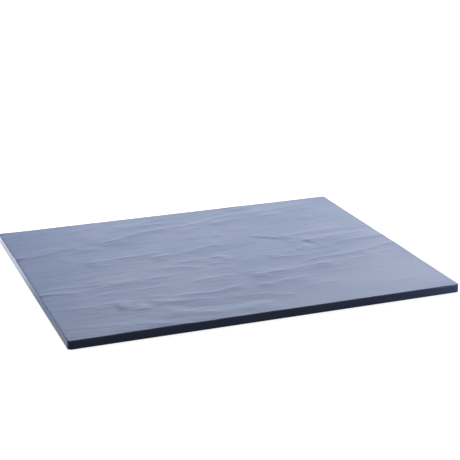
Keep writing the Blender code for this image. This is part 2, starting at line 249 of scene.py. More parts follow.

# %% [markdown]
# ## The ledges of the riven face
# The mould was taken from split slate. Slate parts along its layers, and where a layer breaks off it leaves
# a ledge: a crest a few tenths of a millimetre high that runs out behind it and in front of it. Noise alone
# would make a stone, but not this one. So the crests are mapped, in millimetres from the middle of the
# face, +X to the right and +Y to the back. A narrow front makes a step down towards the viewer, a narrow
# back makes a step up, and a fall instead of a rise makes a pit.

# %% Map of the ledges: rise, width behind, width in front, points of the crest
LEDGES = [
    # Back edge
    (0.25, 9, 5, [(-112, 107.5), (-104, 109), (-95, 112), (-85, 116), (-75, 118.5), (-64, 121.5)]),
    (0.18, 6, 5, [(-44, 113), (-35, 114.5), (-28, 116), (-20, 117.3), (-10, 119), (2, 121)]),
    (0.24, 5, 4, [(-67, 111.5), (-58, 111.5), (-48, 111.5)]),
    (0.16, 5, 6, [(24, 113), (35, 114.5), (45, 118), (52, 120)]),
    (0.22, 14, 9, [(-175, 131), (-160, 131), (-146, 133)]),
    (0.36, 12, 5, [(53, 121.5), (61, 122), (67, 122.5), (76, 124.5), (86, 126)]),
    (0.14, 10, 5, [(68, 107), (78, 107.3), (88, 108), (98, 109.5)]),
    (0.12, 9, 6, [(112, 113), (128, 116), (146, 119)]),
    (0.12, 9, 5, [(100, 101.5), (118, 101), (132, 102.5), (146, 103)]),
    (0.16, 5, 9, [(106, 77.5), (115, 77.5), (127, 78)]),
    # Crest from the left edge, and the notch where it meets the long crest
    (0.42, 10, 6, [(-172, 57.5), (-155, 57), (-145, 57.5), (-135, 59.5), (-125, 62.5), (-115, 66),
                   (-106, 70.5), (-95, 75)]),
    (0.30, 10, 4, [(-175, 56), (-160, 55.5), (-148, 56)]),
    (0.22, 5.5, 14, [(-162, 63.5), (-145, 66), (-135, 69), (-125, 71), (-110, 73)]),
    (0.12, 6, 8, [(-94, 79.5), (-85, 82), (-75, 85), (-64, 89)]),
    (0.28, 6, 12, [(-116, 58), (-104, 59.5), (-95, 60.5), (-80, 61.5)]),
    (0.10, 9, 5, [(-116, 54.5), (-97, 53), (-78, 53)]),
    (0.16, 8, 2.5, [(-93, 69.5), (-86, 69), (-78, 69)]),
    (0.18, 7, 2.5, [(-94, 77), (-87, 77), (-81, 76.5)]),
    # Long crest to the back right corner, with the trough and the crest behind it
    (0.24, 6, 6, [(-84, 71), (-66, 77), (-60, 80.3), (-50, 84.3), (-40, 87), (-30, 89), (-12, 92)]),
    (0.24, 5, 14, [(-80, 72), (-66, 77), (-60, 80.3), (-50, 84.3), (-40, 87), (-30, 89), (-20, 91),
                   (-10, 92.5), (0, 93.3), (12, 94.3), (24, 97)]),
    (0.24, 4, 10, [(-90, 73.5), (-78, 73.8), (-70, 74.2), (-60, 78)]),
    (0.20, 10, 8, [(-76, 102.5), (-55, 104.5), (-45, 106), (-35, 107), (-20, 105.5), (-5, 105.5),
                   (16, 107)]),
    (0.30, 12, 9, [(-60, 105), (-45, 107), (-35, 107.5), (-24, 106), (-5, 105.5)]),
    (0.34, 6, 9, [(2, 93.6), (13, 94.8), (25, 98), (35, 102.5), (45, 105.5), (55, 106.7), (68, 107),
                  (90, 110)]),
    (0.20, 7, 14, [(58, 106.5), (68, 107.3), (82, 109), (95, 111), (115, 113), (136, 119)]),
    (0.24, 4, 6, [(-14, 80.5), (-2, 81), (5, 82), (18, 84.5)]),
    (0.32, 12, 6, [(20, 87.5), (32, 89.5), (42, 90.8), (55, 91.5), (66, 92.5), (78, 94), (90, 95),
                   (104, 96)]),
    (0.12, 10, 5, [(-14, 73), (-4, 74), (8, 76)]),
    (0.14, 8, 6, [(36, 65), (46, 65), (58, 63)]),
    (0.20, 12, 5, [(-18, 57), (-8, 57.5), (2, 59), (12, 61), (20, 61)]),
    (0.18, 10, 4, [(14, 54.5), (21, 54.5), (28, 54)]),
    # Middle, left of the centre
    (0.32, 5, 12, [(-114, 23), (-95, 26.5), (-85, 26.7), (-75, 28), (-65, 28), (-55, 29.5), (-47, 30),
                   (-34, 31)]),
    (0.14, 10, 4, [(-106, 24.5), (-98, 24.5), (-90, 25)]),
    (0.18, 10, 4, [(-82, 26.5), (-75, 26.5), (-66, 27), (-60, 27.5)]),
    (0.22, 10, 5, [(-113, 17), (-105, 17), (-95, 15.5), (-88, 15)]),
    (0.14, 9, 5, [(-132, 38.5), (-122, 37.5), (-114, 36.5)]),
    (0.36, 4.5, 8, [(-56, 18.5), (-42, 20.5), (-35, 21.7), (-25, 22.7), (-15, 24.7), (-5, 27.7), (5, 30.7),
                    (20, 32.5)]),
    (0.20, 10, 6, [(6, 29), (15, 29), (26, 27)]),
    (0.16, 10, 5, [(-56, 12), (-45, 12), (-34, 11.5)]),
    (0.28, 4, 6, [(-42, 2), (-34, 1.2), (-25, 0), (-16, 1.5), (-8, 2)]),
    (0.40, 4, 4, [(-8, 2.5), (0, 2.5), (4, 1.5), (6.5, -1), (7.5, -5), (8, -10), (7.5, -15)]),
    # Middle, right of the centre, with the diagonal break and the pit
    (-0.22, 3, 7, [(43, 43.5), (47, 41), (53, 36.5), (58, 33.5), (63, 30.5), (66, 27), (71, 23.5),
                   (77, 20.5)]),
    (0.22, 6, 2, [(41, 48), (46, 45), (52, 40), (57, 37.5), (62, 35), (66, 30.5), (70, 27.5), (77, 23.5)]),
    (0.30, 8, 2, [(62, 32), (66, 30.5), (70, 28.5)]),
    (0.16, 8, 2, [(74, 25.5), (79, 25), (86, 23.5)]),
    (0.32, 5.5, 14, [(66, 32), (72, 33), (80, 33), (95, 34), (105, 35), (115, 36), (125, 35.5), (140, 36)]),
    (0.22, 4, 9, [(67, 33), (75, 33.7), (84, 33.5)]),
    (0.12, 12, 6, [(92, 33), (105, 32.5), (115, 33), (125, 34), (140, 33.5), (155, 32.5), (170, 31)]),
    (-0.16, 6, 6, [(88, 24), (95, 24.5), (105, 25.5), (125, 26.5), (150, 26)]),
    (0.33, 5, 12, [(84, 14.5), (95, 16), (105, 17.5), (115, 18), (125, 18.5), (135, 18.7), (160, 20)]),
    (0.34, 10, 5, [(84.5, 14.8), (90, 14.8), (95.5, 14.8)]),
    (-0.46, 6, 10, [(84.5, 7.8), (90, 7.6), (95.5, 7.8)]),
    (0.20, 4, 6, [(72, -1.5), (80, -1.5), (86, -0.5), (92, 2.5)]),
    (0.12, 4, 8, [(72, 14.5), (80, 14.5), (88, 15)]),
    (0.40, 12, 6, [(106, -1.5), (115, -0.5), (125, 1), (135, 2.5), (145, 2), (158, 3), (170, 4)]),
    (0.12, 8, 5, [(92, 14), (104, 11.5), (116, 10), (128, 11.5)]),
    # Just in front of the middle
    (0.26, 7, 5, [(-66, -12), (-55, -11), (-45, -11), (-36, -11.5), (-28, -15.5), (-20, -17.5), (-12, -17)]),
    (0.26, 5, 6, [(-14, -14), (-5, -13.3), (4, -13), (12, -14)]),
    (0.16, 5, 9, [(-165, -25.5), (-140, -26), (-120, -25.8)]),
    (0.16, 5.5, 10, [(-110, -27), (-90, -29), (-70, -29), (-50, -27.8), (-30, -27.8)]),
    (0.22, 14, 6, [(-122, -34), (-105, -33.7), (-90, -32.7), (-75, -32.7), (-60, -31.5), (-42, -29)]),
    (0.14, 9, 5, [(-16, -27), (-4, -27), (12, -28)]),
    (0.18, 4.5, 6, [(38, -11.5), (45, -11.5), (52, -13), (58, -15.5)]),
    (0.26, 9, 4, [(36, -18.5), (47, -18.8), (55, -19), (63, -19.8), (72, -20.5), (86, -21.3)]),
    (0.14, 9, 4, [(16, -16), (26, -15.5), (38, -16.5)]),
    (0.20, 4, 6, [(57, -7.5), (65, -8), (72, -8)]),
    (0.14, 5, 4, [(68, -5), (75, -5.5), (84, -8)]),
    (0.15, 9, 5, [(78, -7.5), (90, -7), (105, -6), (116, -5)]),
    (0.16, 5, 6, [(74, -18.5), (84, -19), (95, -19.7), (105, -17.7), (120, -14.5)]),
    (0.40, 6, 6, [(66, -33), (80, -32.3), (95, -32), (105, -32), (115, -30.5), (125, -28.5), (135, -26),
                  (145, -22.5), (155, -19.5), (180, -13)]),
    (0.14, 10, 4, [(98, -33.5), (110, -33), (122, -32)]),
    (0.24, 12, 9, [(112, -38), (126, -36.5), (142, -35), (178, -33)]),
    (0.16, 4.5, 4, [(60, -36.5), (67, -36), (74, -35.5), (84, -34)]),
    (0.40, 6, 9, [(8, -54), (25, -51.5), (35, -50.8), (45, -50.5), (55, -48.3), (65, -47.8), (75, -46.5),
                  (94, -45.3)]),
    (0.24, 6, 9, [(66, -47.7), (76, -46.7), (86, -46), (95, -45), (115, -43), (140, -40)]),
    (0.24, 12, 3.5, [(20, -51), (30, -50.5), (38, -50.5), (46, -50.5), (54, -49.5)]),
    (0.34, 12, 4, [(10, -57.5), (16, -57.3), (21, -58), (30, -59.5)]),
    # Front left, with the chip
    (0.38, 5, 5, [(-180, -35), (-160, -36.3), (-150, -36.8), (-143, -37.5), (-126, -41)]),
    (0.18, 12, 4, [(-178, -36), (-160, -37), (-144, -37.5)]),
    (0.16, 5, 9, [(-122, -49.5), (-105, -49.5), (-85, -50), (-65, -48.8), (-48, -48)]),
    (0.28, 5, 7, [(-44, -47.5), (-35, -46.7), (-25, -45.7), (-15, -46.3), (-5, -44.8), (6, -44.5)]),
    (0.14, 5, 8, [(2, -44), (18, -42.5), (35, -43.5)]),
    (0.16, 9, 5, [(-36, -53.5), (-24, -53.3), (-10, -53.5), (2, -54)]),
    (0.28, 5, 12, [(-155, -71), (-140, -71.7), (-125, -72.5), (-115, -72), (-105, -72.7), (-95, -73.5),
                   (-84, -73)]),
    (0.16, 5, 8, [(-86, -69.5), (-75, -69.5), (-63, -68.5)]),
    (0.32, 5, 8, [(-65, -65), (-61, -69), (-57, -72.5), (-50, -74.3), (-40, -75.3), (-30, -76), (-22, -75.2),
                  (-14, -73), (-5, -71.7), (5, -68.5)]),
    (0.20, 9, 4, [(-132, -78.5), (-122, -78.8), (-112, -79)]),
    (0.40, 9, 5, [(-114, -80), (-106, -80.5), (-97, -81.5)]),
    (0.25, 9, 4, [(-112, -83), (-106, -83.5), (-99, -84.5)]),
    (0.14, 9, 7, [(-105, -82.5), (-95, -84), (-84, -86)]),
    (0.30, 9, 3, [(-103, -89), (-95, -90.5), (-88, -90.5), (-82, -90)]),
    (0.34, 10, 7, [(-88, -78.5), (-78, -81), (-70, -84), (-62, -85.5), (-52, -87), (-45, -88), (-38, -90),
                   (-24, -92)]),
    (0.16, 8, 6, [(-90, -79), (-80, -80.5), (-70, -84), (-58, -86.5), (-46, -88)]),
    (0.22, 10, 6, [(-30, -92), (-14, -93.7), (-5, -93.7), (5, -94.7), (13, -98), (22, -102), (36, -105)]),
    (0.12, 5, 8, [(-12, -82.5), (0, -83), (10, -83.5)]),
    (-0.16, 9, 9, [(-76, -94), (-65, -97), (-55, -101), (-45, -103), (-35, -105.5), (-20, -105), (-5, -105),
                   (16, -107)]),
    (0.42, 7, 14, [(-82, -92), (-72, -100.5), (-66, -106), (-60, -110.5), (-54, -113), (-45, -115),
                   (-35, -116.3), (-25, -116.3), (-15, -115), (-5, -114.5), (14, -115)]),
    (0.26, 12, 6, [(-88, -110.5), (-80, -111), (-72, -111.5), (-60, -113.5)]),
    (0.42, 9, 12, [(-130, -115), (-115, -117), (-105, -118.7), (-95, -121.5), (-85, -125), (-75, -128.5),
                   (-62, -131)]),
    (0.14, 5, 8, [(-152, -111.5), (-138, -113), (-120, -113.5)]),
    (0.12, 5, 8, [(-20, -125), (0, -125), (22, -125.5)]),
    # Front right, where the face is nearly smooth
    (0.30, 5, 9, [(2, -74.8), (15, -75.5), (25, -74.3), (35, -71.5), (45, -70.5), (62, -69.5)]),
    (0.16, 10, 4, [(8, -76.5), (15, -76.8), (22, -76)]),
    (0.12, 6, 5, [(38, -92), (60, -90), (84, -89)]),
    (0.10, 6, 6, [(96, -103), (120, -105), (146, -104)]),
    (0.10, 6, 6, [(70, -64), (95, -66), (128, -62)]),
]
highest_rise = max(rise for rise, *_ in LEDGES)
print("map:", len(LEDGES), "ledges, the highest", highest_rise, "mm before they are scaled")

# %% [markdown]
# ## Crest lines
# Geometry Nodes can measure how far each point of the face lies from a line, so the crests are drawn as
# lines: a smooth curve through the points of each crest, cut into equal steps. Curve objects would do too,
# but plain edges can carry the number and the sizes of the ledge on their points. Every line has the same
# number of points, so the first and the last point of any line can be found by counting. The map shows the
# ledges as the low camera sees them. What stands up seems further back than it is, so each line is moved
# forward by what half its rise hides, since the slopes that catch the light lie half way up.

# %% Crest lines: places
CREST_POINTS = 40


def smooth_line(points):
    """Equally spaced points on a Catmull-Rom curve through the given points."""
    knots = np.array([2 * np.array(points[0]) - points[1], *points, 2 * np.array(points[-1]) - points[-2]])
    share = np.linspace(0, 1, CREST_POINTS)[:-1, None]
    runs = []
    for a, b, c, d in zip(knots, knots[1:], knots[2:], knots[3:]):
        bend = 2 * a - 5 * b + 4 * c - d
        twist = 3 * (b - c) + d - a
        runs.append(b + share / 2 * (c - a + share * (bend + share * twist)))
    dense = np.concatenate([*runs, knots[-2:-1]])
    walked = np.concatenate([[0], np.cumsum(np.hypot(*np.diff(dense, axis=0).T))])
    stops = np.linspace(0, walked[-1], CREST_POINTS)
    return np.stack([np.interp(stops, walked, dense[:, axis]) for axis in (0, 1)], axis=1)


crests = np.concatenate([smooth_line(points) for *_, points in LEDGES]) * MM
half_rises = np.repeat([rise * MM / 2 for rise, *_ in LEDGES], CREST_POINTS)
hidden = half_rises / math.tan(CAMERA_ELEVATION)
crests[:, 1] -= hidden
print("crest lines: moved forward by up to", round(hidden.max() / MM, 2), "mm")

# %% Crest lines: mesh
def show(name, mesh):
    """Puts a mesh in the scene as an object at the origin."""
    made = bpy.data.objects.new(name, mesh)
    bpy.context.scene.collection.objects.link(made)
    return made


crest_mesh = bpy.data.meshes.new("crest_lines")
crest_mesh.vertices.add(len(crests))
crest_mesh.vertices.foreach_set("co", np.column_stack([crests, np.zeros(len(crests))]).ravel())
steps = [i for i in range(len(crests) - 1) if (i + 1) % CREST_POINTS]
crest_mesh.edges.add(len(steps))
crest_mesh.edges.foreach_set("vertices", [end for i in steps for end in (i, i + 1)])
number = crest_mesh.attributes.new("ledge", "INT", "POINT")
number.data.foreach_set("value", np.repeat(np.arange(len(LEDGES)), CREST_POINTS))
for column, name in enumerate(("rise", "behind", "front")):
    size = crest_mesh.attributes.new(name, "FLOAT", "POINT")
    size.data.foreach_set("value", np.repeat([ledge[column] * MM for ledge in LEDGES], CREST_POINTS))
crest_lines = show("crest_lines", crest_mesh)
print("crest lines:", len(crest_mesh.vertices), "points,", len(crest_mesh.edges), "steps")

# %% [markdown]
# ## Riving the face
# Sculpting every ledge by hand would take days and couldn't be changed afterwards. Here a Geometry Nodes
# tree does it by rule. A Repeat zone takes the ledges one at a time, measures each point's way to the crest,
# and adds a rise that falls off behind and in front, and dies out towards the ends of the crest. One
# function makes a tree with its named inputs. Another adds every node in this file, sets its options and
# feeds its inputs, by name, or by number where a node has several inputs of one name.

# %% Tree: inputs
def new_tree(title, inputs, output):
    """An empty Geometry Nodes tree with named inputs and one output, and its input sockets by name."""
    tree = bpy.data.node_groups.new(title, "GeometryNodeTree")
    named = {}
    for name, kind in inputs.items():
        named[name] = tree.interface.new_socket(name, in_out="INPUT", socket_type=kind)
    tree.interface.new_socket(output, in_out="OUTPUT", socket_type="NodeSocketGeometry")
    return tree, named


rive, rive_sockets = new_tree("riven_face", {
    "Blank": "NodeSocketGeometry",
    "Crest lines": "NodeSocketObject",
    "Ledges": "NodeSocketInt",
    "Points per crest": "NodeSocketInt",
    "Depth of ledges": "NodeSocketFloat",
    "Sharpness of crests": "NodeSocketFloat",
    "Share of width behind": "NodeSocketFloat",
    "Fade at crest ends": "NodeSocketFloat",
    "Wander of crests": "NodeSocketFloat",
    "Depth of ripples": "NodeSocketFloat",
    "Height of flakes": "NodeSocketFloat",
    "Seed": "NodeSocketFloat",
    "Melamine": "NodeSocketMaterial",
}, "Board")
print("tree inputs:", ", ".join(rive_sockets))

# %% Tree: what the inputs bring in
def add(tree, kind, feeds=None, **settings):
    """Adds a node, sets its options, and feeds its inputs with values, sockets or a node's first output."""
    node = tree.nodes.new(kind)
    for name, value in settings.items():
        setattr(node, name, value)
    for key, value in (feeds or {}).items():
        if isinstance(value, bpy.types.Node):
            value = next(socket for socket in value.outputs if socket.enabled)
        if isinstance(value, bpy.types.NodeSocket):
            tree.links.new(value, node.inputs[key])
        else:
            node.inputs[key].default_value = value
    return node


given = add(rive, "NodeGroupInput").outputs
lines = add(rive, "GeometryNodeObjectInfo", {"Object": given["Crest lines"]}).outputs["Geometry"]
position = add(rive, "GeometryNodeInputPosition")
axes = add(rive, "ShaderNodeSeparateXYZ", {0: position}).outputs
print("tree begun:", len(rive.nodes), "nodes")

# %% [markdown]
# Slate has a lay, as wood has a grain. On this face it rises to the right at the back and falls a little at
# the front. A Mapping node turns a pattern by one angle only, so the points are sheared instead, by an angle
# that changes from front to back, before any noise is read. The noise then runs along the lay. It also
# shifts the points a little, so that no ledge runs as smoothly as it was drawn.

# %% Tree: the lay of the slate
LEAN_IN_MIDDLE = 0.07
LEAN_PER_METRE = 1.1


def along_lay(tree, axes):
    """The place of a point in the plane of the face, sheared so that the lay runs along X."""
    lean = add(tree, "ShaderNodeMath", {0: axes["Y"], 1: LEAN_PER_METRE, 2: LEAN_IN_MIDDLE},
               operation="MULTIPLY_ADD")
    climb = add(tree, "ShaderNodeMath", {0: axes["X"], 1: lean}, operation="MULTIPLY")
    laid_y = add(tree, "ShaderNodeMath", {0: axes["Y"], 1: climb}, operation="SUBTRACT")
    return add(tree, "ShaderNodeCombineXYZ", {"X": axes["X"], "Y": laid_y})


laid = along_lay(rive, axes)
for side, y in (("front", -HALF_WIDTH), ("back", HALF_WIDTH)):
    angle = math.atan(LEAN_IN_MIDDLE + LEAN_PER_METRE * y)
    print("lay at the", side, round(math.degrees(angle), 1), "degrees")

# %% Tree: the wander of the crests
WANDER_SIZE = (20 * MM, 9 * MM)
WANDER_DETAIL = 2.0
NOISE_MIDDLE = 0.5
IN_PLANE = (1.0, 1.0, 0.0)


def stretched_noise(tree, at, size, detail, seed):
    """Noise in the plane of the face whose patches have the given length and width."""
    stretch = (1 / size[0], 1 / size[1], 0.0)
    stretched = add(tree, "ShaderNodeVectorMath", {0: at, 1: stretch}, operation="MULTIPLY")
    return add(tree, "ShaderNodeTexNoise", {"Vector": stretched, "W": seed, "Scale": 1.0, "Detail": detail},
               noise_dimensions="4D")


flat = add(rive, "ShaderNodeVectorMath", {0: position, 1: IN_PLANE}, operation="MULTIPLY")
wander_noise = stretched_noise(rive, laid, WANDER_SIZE, WANDER_DETAIL, given["Seed"]).outputs["Color"]
wander_way = add(rive, "ShaderNodeVectorMath", {0: wander_noise, 1: [NOISE_MIDDLE] * 3},
                 operation="SUBTRACT")
wander_flat = add(rive, "ShaderNodeVectorMath", {0: wander_way, 1: IN_PLANE}, operation="MULTIPLY")
wander = add(rive, "ShaderNodeVectorMath", {0: wander_flat, "Scale": given["Wander of crests"]},
             operation="SCALE")
wandered = add(rive, "ShaderNodeVectorMath", {0: flat, 1: wander}, operation="ADD")
laid_wandered = add(rive, "ShaderNodeVectorMath", {0: laid, 1: wander}, operation="ADD")
print("tree with the wander:", len(rive.nodes), "nodes")

# %% [markdown]
# Between the ledges the face is never flat. Long shallow ripples follow the lay, and thin flakes have come
# away in steps. Both could be bump in the material, but then they would be missing from the mesh. The
# ripples are stretched noise, folded at its middle so that they get crests. The flakes are a second noise
# cut into steps, so that its contour lines become the broken edges of layers thinner than paper. Both are
# calmer towards the front right corner, where the stone split clean.

# %% Tree: ripples and flakes
RIPPLE_SIZE = (44 * MM, 11 * MM)
RIPPLE_DETAIL = 1.0
FLAKE_SIZE = (60 * MM, 17 * MM)
FLAKE_DETAIL = 3.0
FLAKE_STEPS = 9.0
FLAKE_EDGE_FROM = 0.6
ripple_noise = stretched_noise(rive, laid_wandered, RIPPLE_SIZE, RIPPLE_DETAIL, given["Seed"])
ripple_way = add(rive, "ShaderNodeMath", {0: ripple_noise, 1: NOISE_MIDDLE}, operation="SUBTRACT")
ripple_fold = add(rive, "ShaderNodeMath", {0: ripple_way}, operation="ABSOLUTE")
ripple = add(rive, "ShaderNodeMath", {0: ripple_fold, 1: given["Depth of ripples"]}, operation="MULTIPLY")
flake_noise = stretched_noise(rive, laid_wandered, FLAKE_SIZE, FLAKE_DETAIL, given["Seed"])
flake_way = add(rive, "ShaderNodeMath", {0: flake_noise, 1: NOISE_MIDDLE}, operation="SUBTRACT")
flake_height = add(rive, "ShaderNodeMath", {0: flake_way, 1: FLAKE_STEPS}, operation="MULTIPLY")
flake_floor = add(rive, "ShaderNodeMath", {0: flake_height}, operation="FLOOR")
flake_rest = add(rive, "ShaderNodeMath", {0: flake_height, 1: flake_floor}, operation="SUBTRACT")
flake_edge = add(rive, "ShaderNodeMapRange", {"Value": flake_rest, "From Min": FLAKE_EDGE_FROM},
                 interpolation_type="SMOOTHSTEP")
flake_steps = add(rive, "ShaderNodeMath", {0: flake_floor, 1: flake_edge}, operation="ADD")
flakes = add(rive, "ShaderNodeMath", {0: flake_steps, 1: given["Height of flakes"]}, operation="MULTIPLY")
print("tree with ripples and flakes:", len(rive.nodes), "nodes")

# %% Tree: the calm corner
CALM_FROM = 40 * MM
CALM_TO = 200 * MM
CALM_SHARE = 0.35
restless = add(rive, "ShaderNodeMath", {0: flakes, 1: ripple}, operation="SUBTRACT")
toward_corner = add(rive, "ShaderNodeMath", {0: axes["X"], 1: axes["Y"]}, operation="SUBTRACT")
calm = add(rive, "ShaderNodeMapRange", {
    "Value": toward_corner, "From Min": CALM_FROM, "From Max": CALM_TO,
    "To Min": 1.0, "To Max": CALM_SHARE,
}, interpolation_type="SMOOTHSTEP")
grain = add(rive, "ShaderNodeMath", {0: restless, 1: calm}, operation="MULTIPLY")
print("tree with the calm corner:", len(rive.nodes), "nodes")

# %% [markdown]
# The Repeat zone starts from that grain and adds one ledge per turn. A hundred copies of the same nodes
# would do the same and be past reading. Each turn looks up the sizes of its ledge by the number of its first
# point, and finds how far the nearest crest point lies from both ends of the crest.

# %% Tree: one ledge per turn of the Repeat zone
turn_in = add(rive, "GeometryNodeRepeatInput")
turn_out = add(rive, "GeometryNodeRepeatOutput")
turn_in.pair_with_output(turn_out)
begun = add(rive, "GeometryNodeStoreNamedAttribute",
            {"Geometry": given["Blank"], "Name": "lift", "Value": grain})
rive.links.new(given["Ledges"], turn_in.inputs["Iterations"])
rive.links.new(begun.outputs["Geometry"], turn_in.inputs["Geometry"])
turn = turn_in.outputs["Iteration"]
first = add(rive, "ShaderNodeMath", {0: turn, 1: given["Points per crest"]}, operation="MULTIPLY")
after = add(rive, "ShaderNodeMath", {0: first, 1: given["Points per crest"]}, operation="ADD")
last = add(rive, "ShaderNodeMath", {0: after, 1: 1.0}, operation="SUBTRACT")
ledge_number = add(rive, "GeometryNodeInputNamedAttribute", {"Name": "ledge"}, data_type="INT")
nearest = add(
    rive, "GeometryNodeProximity",
    {"Geometry": lines, "Group ID": ledge_number, "Sample Position": wandered, "Sample Group ID": turn},
    target_element="EDGES").outputs
size_of = {}
for name in ("rise", "behind", "front"):
    kept = add(rive, "GeometryNodeInputNamedAttribute", {"Name": name}, data_type="FLOAT")
    size_of[name] = add(rive, "GeometryNodeSampleIndex", {"Geometry": lines, "Value": kept, "Index": first})
print("sizes looked up for each ledge:", ", ".join(size_of))

# %% Tree: the ends of a crest
FADE_SHARE = 0.4
ends = []
gaps = []
for index in (first, last):
    end = add(rive, "GeometryNodeSampleIndex", {"Geometry": lines, "Value": position, "Index": index},
              data_type="FLOAT_VECTOR")
    ends.append(end)
    gaps.append(add(rive, "ShaderNodeVectorMath", {0: nearest["Position"], 1: end}, operation="DISTANCE"))
to_end = add(rive, "ShaderNodeMath", {0: gaps[0], 1: gaps[1]}, operation="MINIMUM")
span = add(rive, "ShaderNodeVectorMath", {0: ends[0], 1: ends[1]}, operation="DISTANCE")
fade_of_span = add(rive, "ShaderNodeMath", {0: span, 1: FADE_SHARE}, operation="MULTIPLY")
fade = add(rive, "ShaderNodeMath", {0: fade_of_span, 1: given["Fade at crest ends"]}, operation="MINIMUM")
taper = add(rive, "ShaderNodeMapRange", {"Value": to_end, "From Max": fade}, interpolation_type="SMOOTHSTEP")
print("tree with the ends of a crest:", len(rive.nodes), "nodes")

# %% [markdown]
# The section of a ledge is a curve that falls from the crest with the distance over the width. A power of 2
# would make a soft bell, like a fold in cloth. A power near 1 makes the crest sharp, as broken stone is. The
# widths behind the crests are all narrowed by one share, because a steep slope that faces the light behind
# the board shows as a thin bright line. Noise of its own makes each ledge stand out more in some places than
# in others.

# %% Tree: the section of a ledge
from_crest = add(rive, "ShaderNodeVectorMath", {0: wandered, 1: nearest["Position"]}, operation="SUBTRACT")
from_crest_y = add(rive, "ShaderNodeSeparateXYZ", {0: from_crest}).outputs["Y"]
is_behind = add(rive, "FunctionNodeCompare", {"A": from_crest_y, "B": 0.0}, operation="GREATER_THAN")
behind = add(rive, "ShaderNodeMath", {0: size_of["behind"], 1: given["Share of width behind"]},
             operation="MULTIPLY")
width = add(rive, "GeometryNodeSwitch", {"Switch": is_behind, "False": size_of["front"], "True": behind},
            input_type="FLOAT")
reach = add(rive, "ShaderNodeMath", {0: nearest["Distance"], 1: width}, operation="DIVIDE")
power = add(rive, "ShaderNodeMath", {0: reach, 1: given["Sharpness of crests"]}, operation="POWER")
fall = add(rive, "ShaderNodeMath", {0: power, 1: -1.0}, operation="MULTIPLY")
section = add(rive, "ShaderNodeMath", {0: fall}, operation="EXPONENT")
tapered = add(rive, "ShaderNodeMath", {0: section, 1: taper}, operation="MULTIPLY")
print("tree with the section:", len(rive.nodes), "nodes")

# %% Tree: the sum of all ledges
UNEVEN_SIZE = (14 * MM, 14 * MM)
UNEVEN_DETAIL = 2.0
UNEVEN_FROM = 0.7
UNEVEN_TO = 1.3
NOISE_LOW = 0.3
NOISE_HIGH = 0.7
start_x = add(rive, "ShaderNodeSeparateXYZ", {0: ends[0]}).outputs["X"]
uneven_seed = add(rive, "ShaderNodeMath", {0: start_x, 1: 1 / MM}, operation="MULTIPLY")
uneven_noise = stretched_noise(rive, flat, UNEVEN_SIZE, UNEVEN_DETAIL, uneven_seed)
uneven = add(rive, "ShaderNodeMapRange", {
    "Value": uneven_noise, "From Min": NOISE_LOW, "From Max": NOISE_HIGH,
    "To Min": UNEVEN_FROM, "To Max": UNEVEN_TO,
})
shaped = add(rive, "ShaderNodeMath", {0: tapered, 1: uneven}, operation="MULTIPLY")
deep = add(rive, "ShaderNodeMath", {0: size_of["rise"], 1: given["Depth of ledges"]}, operation="MULTIPLY")
so_far = add(rive, "GeometryNodeInputNamedAttribute", {"Name": "lift"}, data_type="FLOAT")
raised = add(rive, "ShaderNodeMath", {0: shaped, 1: deep, 2: so_far}, operation="MULTIPLY_ADD")
summed = add(rive, "GeometryNodeStoreNamedAttribute",
             {"Geometry": turn_in.outputs["Geometry"], "Name": "lift", "Value": raised})
rive.links.new(summed.outputs["Geometry"], turn_out.inputs["Geometry"])
print("tree with the sum:", len(rive.nodes), "nodes")

# %% [markdown]
# On a split stone the ledges run out through the rim. Lifting the face alone would part it from the edge,
# and fading the relief out would leave a smooth frame round it. So the relief lifts the upper half of the
# edge with it, and the lower half stays straight.

# %% Tree: lift the face and finish
lift_share = add(rive, "ShaderNodeMapRange",
                 {"Value": axes["Z"], "From Min": (edge_foot + edge_top) / 2, "From Max": edge_top},
                 interpolation_type="SMOOTHSTEP")
lift = add(rive, "ShaderNodeMath", {0: so_far, 1: lift_share}, operation="MULTIPLY")
upward = add(rive, "ShaderNodeCombineXYZ", {"Z": lift})
lifted = add(rive, "GeometryNodeSetPosition", {"Geometry": turn_out.outputs["Geometry"], "Offset": upward})
real = add(rive, "GeometryNodeRealizeInstances", {"Geometry": lifted})
painted = add(rive, "GeometryNodeSetMaterial", {"Geometry": real, "Material": given["Melamine"]})
add(rive, "NodeGroupOutput", {"Board": painted})
print("tree:", len(rive.nodes), "nodes")

# %% [markdown]
# ## Melamine
# Melamine resin filled with cellulose is pressed in a hot mould, dyed right through in a dark blue slate
# grey. The powder is never mixed quite evenly, so the dye is cloudy and has paler flecks. One flat colour
# would look like paint, so two noises at the sizes of the clouds and the flecks mix three dyes. Colours are
# picked as sRGB hex values, as a painter reads them off a picture, but shaders work in linear light.

# %% Melamine: clouds in the dye
CLOUD_SIZE = 35 * MM
CLOUD_STRETCH = (0.5, 1.5, 1.5)
CLOUD_DETAIL = 4.0
CLOUD_DARK_BELOW = 0.35
CLOUD_PALE_ABOVE = 0.65
# A Mix node has inputs A and B for each kind of value, so they are told apart by their numbers.
COLOUR_A = 6
COLOUR_B = 7


def linear(hex_colour):
    """Turns an sRGB hex colour into linear red, green, blue and a full alpha."""
    shares = [int(hex_colour[i:i + 2], 16) / 255 for i in (1, 3, 5)]
    return (*(s / 12.92 if s <= 0.04045 else ((s + 0.055) / 1.055) ** 2.4 for s in shares), 1.0)


